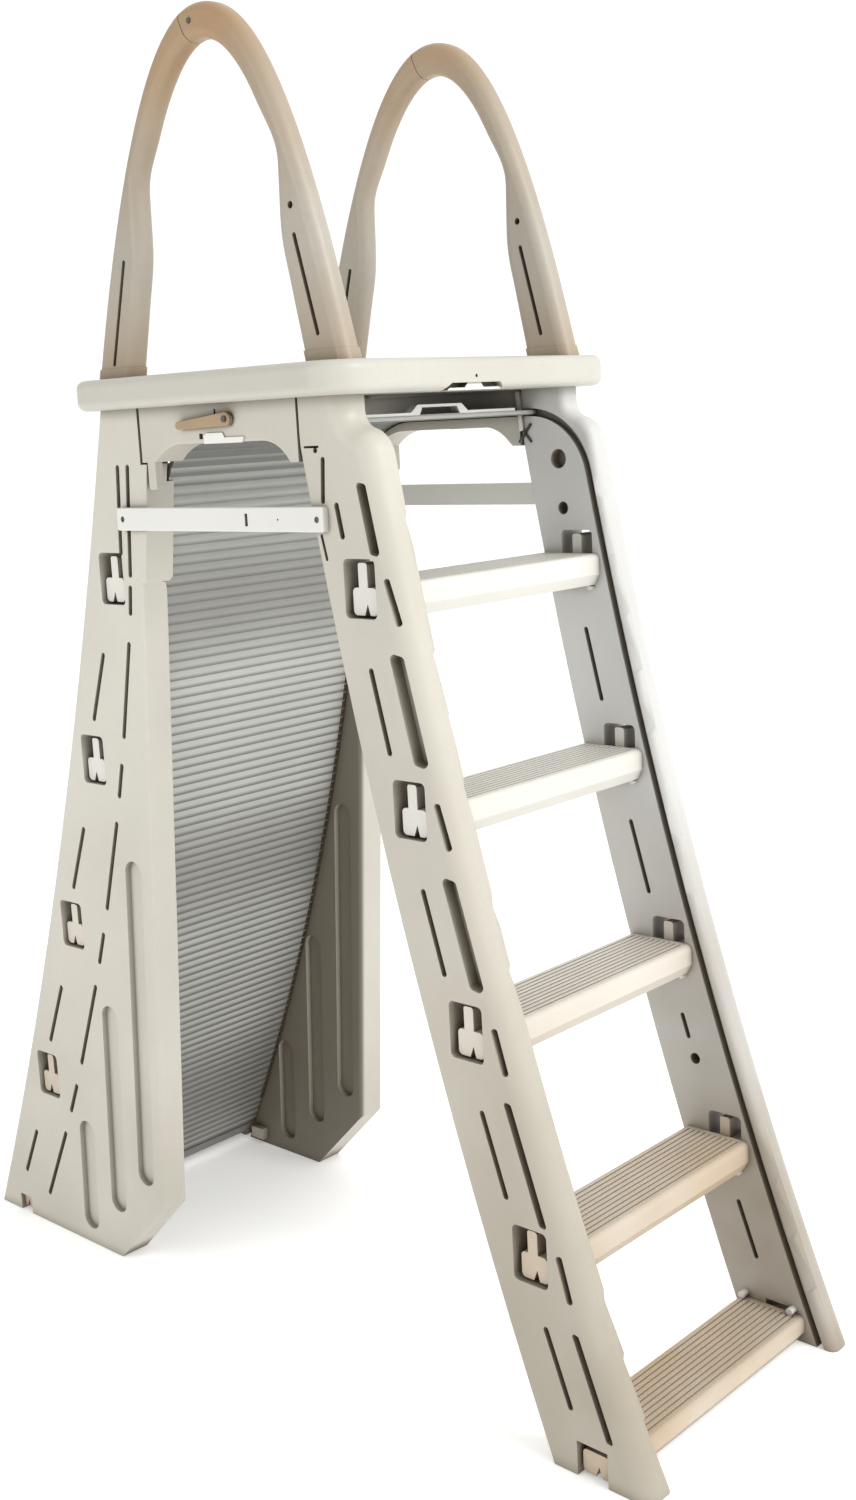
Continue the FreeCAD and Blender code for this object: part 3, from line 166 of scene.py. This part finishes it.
def resin(name, base, shade, rough=0.42, height_tints=(), serrated=False, painted_slat_shade=False, painted_inside_shade=False):
    """Satin moulded resin: clouding, fine grain, scuffs, and grime with painted shade in the hollows.

    Each height tint is (colour, level where it starts, level where it is full, strength), a colour that
    ramps in with height. The inside-shade switch darkens the faces that look towards -Y with painted shade."""
    g = Graph(name)
    clouds = g.noise(2.6, 4.0)
    cloud_share = g.remap(clouds, "Fac", 0.35, 0.7, 0.0, 0.75)
    tone = g.mix(cloud_share, "Result", base, shade)
    speckle = g.noise(95.0, 3.0)
    speckle_share = g.remap(speckle, "Fac", 0.42, 0.68, 0.0, 0.12)
    tone = g.mix(speckle_share, "Result", (tone, 2), shade)

    position = g.add("ShaderNodeSeparateXYZ")
    g.link(g.coordinates, "Object", position, "Vector")
    facing = g.add("ShaderNodeNewGeometry")
    normal_parts = g.add("ShaderNodeSeparateXYZ")
    g.link(facing, "Normal", normal_parts, "Vector")
    patches = g.noise(3.4, 3.0)
    # Colours ramped in by height: the rails, skirts and barrier darker towards the bottom, the painted
    # shade on the lower treads, the tan on the handrail.
    for colour, start, end, strength in height_tints:
        share = height_share(g, position, start, end, strength, patches)
        tone = g.mix(share, "Value", (tone, 2), colour)
    if painted_inside_shade:
        # Painted shade: the faces that look towards -Y are darkened as if in shadow.
        inward = g.remap(normal_parts, "Y", -0.25, -0.75, 0.0, 0.92)
        tone = g.mix(inward, "Result", (tone, 2), INSIDE_PAINTED_SHADE)
    if painted_slat_shade:
        # Painted shade: soft dark bands across the barrier at a fixed pitch.
        turns = g.maths("MULTIPLY", position, "Z", 2 * math.pi / BAND_PITCH)
        phase = g.maths("SUBTRACT", turns, "Value", 2 * math.pi * BAND_LEVEL / BAND_PITCH)
        wave = g.maths("COSINE", phase, "Value", 0.0)
        painted_band = g.remap(wave, "Value", -0.1, 1.0, 0.0, 0.62)
        tone = g.mix(painted_band, "Result", (tone, 2), PAINTED_BAND_SHADE)
        # Painted shade: faces of the strip that look downwards are darkened.
        shadow = g.remap(normal_parts, "Z", -0.22, -0.52, 0.0, 0.80)
        tone = g.mix(shadow, "Result", (tone, 2), PAINTED_GROOVE_SHADE)

    # Grime and painted shade: hollows and recesses, found by ambient occlusion, darken towards dark brown.
    hollow = g.add("ShaderNodeAmbientOcclusion", samples=8)
    hollow.inputs["Distance"].default_value = 0.034
    grime_and_shade = g.remap(hollow, "AO", 0.22, 0.78, 0.92, 0.0)
    tone = g.mix(grime_and_shade, "Result", (tone, 2), HOLLOW_GRIME_AND_SHADE)
    g.tree.links.new(tone.outputs[2], g.shader.inputs["Base Color"])

    wear = g.noise(14.0, 6.0, roughness=0.65)
    roughness = g.remap(wear, "Fac", 0.3, 0.75, rough - 0.08, rough + 0.12)
    g.link(roughness, "Result", g.shader, "Roughness")

    grain = g.noise(620.0, 2.0)
    normal = g.bump(grain, "Fac", 0.10, 0.0006)
    ripple = g.noise(9.0, 2.0)
    normal = g.bump(ripple, "Fac", 0.10, 0.006, after=normal)
    if serrated:
        wave = g.add("ShaderNodeTexWave", wave_type="BANDS", bands_direction="Y", wave_profile="TRI")
        wave.inputs["Scale"].default_value = 62.0
        wave.inputs["Distortion"].default_value = 0.0
        g.link(g.coordinates, "Object", wave, "Vector")
        top_only = g.remap(normal_parts, "Z", 0.80, 0.95, 0.0, 1.0)
        ribs_and_joint_shade = g.maths("MULTIPLY", wave, "Fac", (top_only, "Result"))
        normal = g.bump(ribs_and_joint_shade, "Value", 0.55, 0.0016, after=normal)
    g.link(normal, "Normal", g.shader, "Normal")
    g.shader.inputs["IOR"].default_value = 1.49
    g.shader.inputs["Specular IOR Level"].default_value = 0.40
    return g.material


def steel(name, base=(0.42, 0.42, 0.41)):
    """Dull stainless steel with fine scratches."""
    g = Graph(name)
    scratches = g.noise(260.0, 4.0, stretch=(1, 1, 6))
    tone = g.mix(scratches, "Fac", base, tuple(channel * 0.6 for channel in base))
    g.tree.links.new(tone.outputs[2], g.shader.inputs["Base Color"])
    roughness = g.remap(scratches, "Fac", 0.3, 0.7, 0.25, 0.5)
    g.link(roughness, "Result", g.shader, "Roughness")
    normal = g.bump(scratches, "Fac", 0.15, 0.0004)
    g.link(normal, "Normal", g.shader, "Normal")
    g.shader.inputs["Metallic"].default_value = 1.0
    return g.material


def floor_paint(name):
    """Pale studio floor with a very faint mottle."""
    g = Graph(name)
    mottle = g.noise(3.0, 3.0)
    share = g.remap(mottle, "Fac", 0.4, 0.6, 0.0, 1.0)
    tone = g.mix(share, "Result", (0.945, 0.945, 0.94), (0.925, 0.925, 0.92))
    g.tree.links.new(tone.outputs[2], g.shader.inputs["Base Color"])
    roughness = g.remap(mottle, "Fac", 0.3, 0.7, 0.75, 0.9)
    g.link(roughness, "Result", g.shader, "Roughness")
    grain = g.noise(180.0, 2.0)
    normal = g.bump(grain, "Fac", 0.05, 0.001)
    g.link(normal, "Normal", g.shader, "Normal")
    g.shader.inputs["Emission Color"].default_value = (1, 1, 1, 1)
    g.shader.inputs["Emission Strength"].default_value = 0.30
    return g.material


RAIL_BASE = (0.555, 0.532, 0.468)
RAIL_SHADE = (0.470, 0.445, 0.380)
OUTER_NEAR_RESIN = resin("outer_rail_resin", RAIL_BASE, RAIL_SHADE, height_tints=[(LOW_DARK_TONE, 1.15, 0.10, 0.62)])
OUTER_FAR_RESIN = resin(
    "far_rail_resin", (0.60, 0.60, 0.585), (0.53, 0.525, 0.505), height_tints=[(LOW_DARK_TONE, 1.0, 0.05, 1.0)]
)
SKIRT_BASE = (0.600, 0.580, 0.518)
SKIRT_SHADE = (0.520, 0.498, 0.435)
SKIRT_LOW_DARKENING = [(LOW_DARK_TONE, 0.9, 0.0, 0.35)]
POOL_NEAR_RESIN = resin("pool_rail_resin", SKIRT_BASE, SKIRT_SHADE, height_tints=SKIRT_LOW_DARKENING)
# The far skirt's inner faces carry painted shade.
POOL_FAR_RESIN = resin("far_skirt_resin", SKIRT_BASE, SKIRT_SHADE, height_tints=SKIRT_LOW_DARKENING, painted_inside_shade=True)
BRIDGE_RESIN = resin("bridge_resin", (0.56, 0.538, 0.475), (0.48, 0.455, 0.395))
SPREADER_RESIN = resin("spreader_resin", (0.72, 0.72, 0.69), (0.66, 0.655, 0.62))
PLATFORM_RESIN = resin("platform_resin", (0.53, 0.515, 0.462), (0.46, 0.44, 0.385), rough=0.36)
# The treads darken towards the bottom of the ladder: painted shade.
TREAD_RESIN = resin(
    "tread_resin",
    (0.69, 0.68, 0.635),
    (0.62, 0.605, 0.545),
    height_tints=[(TREAD_PAINTED_SHADE, 0.85, 0.12, 0.95)],
    serrated=True,
)
HANDRAIL_RESIN = resin(
    "handrail_resin",
    (0.42, 0.392, 0.335),
    (0.31, 0.28, 0.225),
    rough=0.38,
    height_tints=[(TAN, 1.70, 1.98, 0.85), (TAN, 1.66, 1.50, 0.45)],
)
# The barrier carries painted shade: dark bands, and darker faces that look downwards.
BARRIER_RESIN = resin(
    "barrier_resin",
    (0.50, 0.505, 0.48),
    (0.42, 0.425, 0.40),
    rough=0.45,
    height_tints=[(BARRIER_LOW_TONE, 1.05, 0.15, 0.75)],
    painted_slat_shade=True,
)
# The lever is given the brown of the shadow under its arm: painted shadow.
LEVER_SHADOW_BROWN = resin("lever_resin", (0.40, 0.29, 0.18), (0.30, 0.21, 0.13), rough=0.45)
WHITE_RESIN = resin("white_resin", (0.80, 0.79, 0.76), (0.70, 0.69, 0.66), rough=0.32)
DARK_RESIN = resin("dark_resin", (0.035, 0.030, 0.026), (0.02, 0.018, 0.015), rough=0.6)
CLIP_STEEL = steel("clip_wire", (0.16, 0.155, 0.15))
STEEL = steel("fastener_steel", (0.20, 0.19, 0.18))

MATERIALS = (
    ("outer_rail_near", OUTER_NEAR_RESIN),
    ("outer_rail_far", OUTER_FAR_RESIN),
    ("pool_rail_near", POOL_NEAR_RESIN),
    ("pool_rail_far", POOL_FAR_RESIN),
    ("bridge_panel", BRIDGE_RESIN),
    ("spreader_bar", SPREADER_RESIN),
    ("tread_pegs", WHITE_RESIN),
    ("track_stops", POOL_NEAR_RESIN),
    ("outer_tread", TREAD_RESIN),
    ("pool_tread", TREAD_RESIN),
    ("handrail_sleeves", DARK_RESIN),
    ("handrail", HANDRAIL_RESIN),
    ("barrier_lead_bar", WHITE_RESIN),
    ("barrier", BARRIER_RESIN),
    ("platform", PLATFORM_RESIN),
    ("lock_lever", LEVER_SHADOW_BROWN),
    ("handle_keeper", WHITE_RESIN),
    ("bridge_clips", WHITE_RESIN),
)


def material_of(name):
    """Material of a CAD node, by the start of its name."""
    for start, material in MATERIALS:
        if name.startswith(start):
            return material
    return STEEL


SMOOTH_ANGLE = math.radians(32)

for name, node in nodes.items():
    node.data.materials.clear()
    node.data.materials.append(material_of(name))
    for polygon in node.data.polygons:
        polygon.use_smooth = True
    if hasattr(node.data, "set_sharp_from_angle"):
        node.data.set_sharp_from_angle(angle=SMOOTH_ANGLE)


# ---------------------------------------------------------------------------------------------------
# Small mouldings that are not CAD nodes
# ---------------------------------------------------------------------------------------------------


def mesh_piece(name, faces_of, material):
    """Makes an object from a function that fills a bmesh."""
    shape = bmesh.new()
    faces_of(shape)
    bmesh.ops.recalc_face_normals(shape, faces=shape.faces)
    data = bpy.data.meshes.new(name)
    shape.to_mesh(data)
    shape.free()
    piece = bpy.data.objects.new(name, data)
    scene.collection.objects.link(piece)
    data.materials.append(material)
    return piece


def add_block(shape, corners):
    """Adds a six-sided block. corners are its lower four points, then its upper four, in the same order."""
    spots = [shape.verts.new(corner) for corner in corners]
    low, high = spots[:4], spots[4:]
    shape.faces.new(low[::-1])
    shape.faces.new(high)
    for index in range(4):
        following = (index + 1) % 4
        shape.faces.new((low[index], low[following], high[following], high[index]))


curtain_low, curtain_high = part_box("barrier_curtain")
# Centre and radius of the long arc that the straight strip lies on.
TRACK_CENTRE = Vector((-4.495955 + CENTRE_X, 0, 2.042808))
TRACK_RADIUS = 4.381335
SLAT_PITCH = 0.016
FIRST_SHADED_JOINT = 11  # the slats above it slide under the strip of the bend


def on_track(length, out):
    """(x, z) at a length down from the top of the straight strip, and a distance outside its middle."""
    top_angle = math.asin((curtain_high.z - TRACK_CENTRE.z) / TRACK_RADIUS)
    angle = top_angle - length / TRACK_RADIUS
    reach = TRACK_RADIUS + out
    return TRACK_CENTRE.x + reach * math.cos(angle), TRACK_CENTRE.z + reach * math.sin(angle)


def slat_joint_shade(side):
    """Short dark blocks at the slat ends, on the strip's yard face beside the rail's groove: painted shade
    at the joints.
    """

    def fill(shape):
        outer = side * (RAIL_IN - 0.0004)
        inner = side * (RAIL_IN - 0.0075)
        count = int((curtain_high.z - curtain_low.z) * 1.02 / SLAT_PITCH)
        for index in range(FIRST_SHADED_JOINT, count - 1):
            start = SLAT_PITCH * (index + 0.22)
            end = SLAT_PITCH * (index + 0.86)
            rows = []
            for length in (end, start):
                for out in (0.0022, 0.0058):
                    rows.append(on_track(length, out))
            (ax, az), (bx, bz), (cx, cz), (dx, dz) = rows
            add_block(shape, [
                (ax, inner, az), (bx, inner, bz), (bx, outer, bz), (ax, outer, az),
                (cx, inner, cz), (dx, inner, dz), (dx, outer, dz), (cx, outer, cz),
            ])

    return fill


# Painted shade: dark blocks along both edges of the barrier stand in for the shade at the slat joints.
for side_name, side in SIDES:
    ribs_and_joint_shade = mesh_piece(f"slat_joint_shade_{side_name}", slat_joint_shade(side), DARK_RESIN)
    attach(ribs_and_joint_shade, "barrier_lower")


def bar_on_wall(shape, a, b, width, low_y, high_y):
    """Adds a straight bar between two (x, z) points, between two levels of y."""
    along = Vector((b[0] - a[0], 0, b[1] - a[1])).normalized()
    across = Vector((-along.z, 0, along.x)) * width / 2
    start = Vector((a[0], 0, a[1]))
    end = Vector((b[0], 0, b[1]))
    ring = [start - across, end - across, end + across, start + across]
    lower = [(spot.x, low_y, spot.z) for spot in ring]
    upper = [(spot.x, high_y, spot.z) for spot in ring]
    add_block(shape, lower + upper)


CLIP_X = CENTRE_X + 0.193
CLIP_Z = 1.395


def clip_arms(shape):
    """Crossed arms of the snap clip on the inner face of the far rail."""
    face = RAIL_IN - 0.0003
    for tilt in (1, -1):
        a = (CLIP_X - 0.012, CLIP_Z - tilt * 0.014)
        b = (CLIP_X + 0.012, CLIP_Z + tilt * 0.014)
        bar_on_wall(shape, a, b, 0.0030, face - 0.0030 - 0.0006 * tilt, face)


def clip_strap(shape):
    """Strap that runs from the clip up to the platform."""
    face = RAIL_IN - 0.0003
    low_end = (CLIP_X - 0.006, CLIP_Z + 0.004)
    top_end = (CLIP_X - 0.012, PLATFORM_BASE - 0.004)
    bar_on_wall(shape, low_end, top_end, 0.0075, face - 0.004, face)


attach(mesh_piece("clip_arms", clip_arms, CLIP_STEEL), "frame")
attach(mesh_piece("clip_strap", clip_strap, WHITE_RESIN), "frame")


# ---------------------------------------------------------------------------------------------------
# Floor, light and camera
# ---------------------------------------------------------------------------------------------------

bpy.ops.mesh.primitive_plane_add(size=60, location=(0, 0, -0.0005))
floor = bpy.context.object
floor.name = "floor"
floor.data.materials.append(floor_paint("floor_paint"))

world = bpy.data.worlds.new("studio")
scene.world = world
world.use_nodes = True
background = world.node_tree.nodes["Background"]
background.inputs["Color"].default_value = (1.0, 1.0, 1.0, 1)
sky = world.node_tree
direction = sky.nodes.new("ShaderNodeTexCoord")
facing_light = sky.nodes.new("ShaderNodeVectorMath")
facing_light.operation = "DOT_PRODUCT"
facing_light.inputs[1].default_value = (0.35, 0.94, 0.0)
glow = sky.nodes.new("ShaderNodeMapRange")
glow.inputs["From Min"].default_value = -0.60
glow.inputs["From Max"].default_value = 0.12
glow.inputs["To Min"].default_value = 0.46
glow.inputs["To Max"].default_value = 1.10
sky.links.new(direction.outputs["Generated"], facing_light.inputs[0])
sky.links.new(facing_light.outputs["Value"], glow.inputs["Value"])
sky.links.new(glow.outputs["Result"], background.inputs["Strength"])


def softbox(name, place, aim, width, height, power, tint=(1, 1, 1)):
    """Rectangular studio light that looks at a point."""
    lamp = bpy.data.lights.new(name, "AREA")
    lamp.shape = "RECTANGLE"
    lamp.size = width
    lamp.size_y = height
    lamp.energy = power
    lamp.color = tint
    holder = bpy.data.objects.new(name, lamp)
    scene.collection.objects.link(holder)
    holder.location = place
    holder.rotation_euler = (Vector(aim) - Vector(place)).to_track_quat("-Z", "Y").to_euler()
    return holder


softbox("key", (4.0, 0.4, 3.6), (0.2, 0, 0.9), 2.4, 2.4, 120, (1.0, 0.99, 0.97))
softbox("side", (-1.2, -4.4, 2.8), (0, 0, 1.1), 2.6, 2.6, 66, (1.0, 0.985, 0.96))

CAMERA_PLACE = Vector((1.9313 + CENTRE_X, -1.8894, 1.4255))
CAMERA_YAW = math.radians(43.373)
CAMERA_PITCH = math.radians(-11.019)
CAMERA_ROLL = math.radians(-3.0025)
CAMERA_LENS = 40.79

forward = Vector((
    -math.sin(CAMERA_YAW) * math.cos(CAMERA_PITCH),
    math.cos(CAMERA_YAW) * math.cos(CAMERA_PITCH),
    math.sin(CAMERA_PITCH),
))
level_right = forward.cross(Vector((0, 0, 1))).normalized()
level_up = level_right.cross(forward)
right = level_right * math.cos(CAMERA_ROLL) + level_up * math.sin(CAMERA_ROLL)
up = level_up * math.cos(CAMERA_ROLL) - level_right * math.sin(CAMERA_ROLL)

camera_data = bpy.data.cameras.new("camera")
camera_data.sensor_fit = "VERTICAL"
camera_data.sensor_height = 36
camera_data.lens = CAMERA_LENS
camera = bpy.data.objects.new("camera", camera_data)
scene.collection.objects.link(camera)
turn = Matrix((right, up, -forward)).transposed()
camera.matrix_world = Matrix.Translation(CAMERA_PLACE) @ turn.to_4x4()
scene.camera = camera

scene.view_settings.view_transform = "Standard"
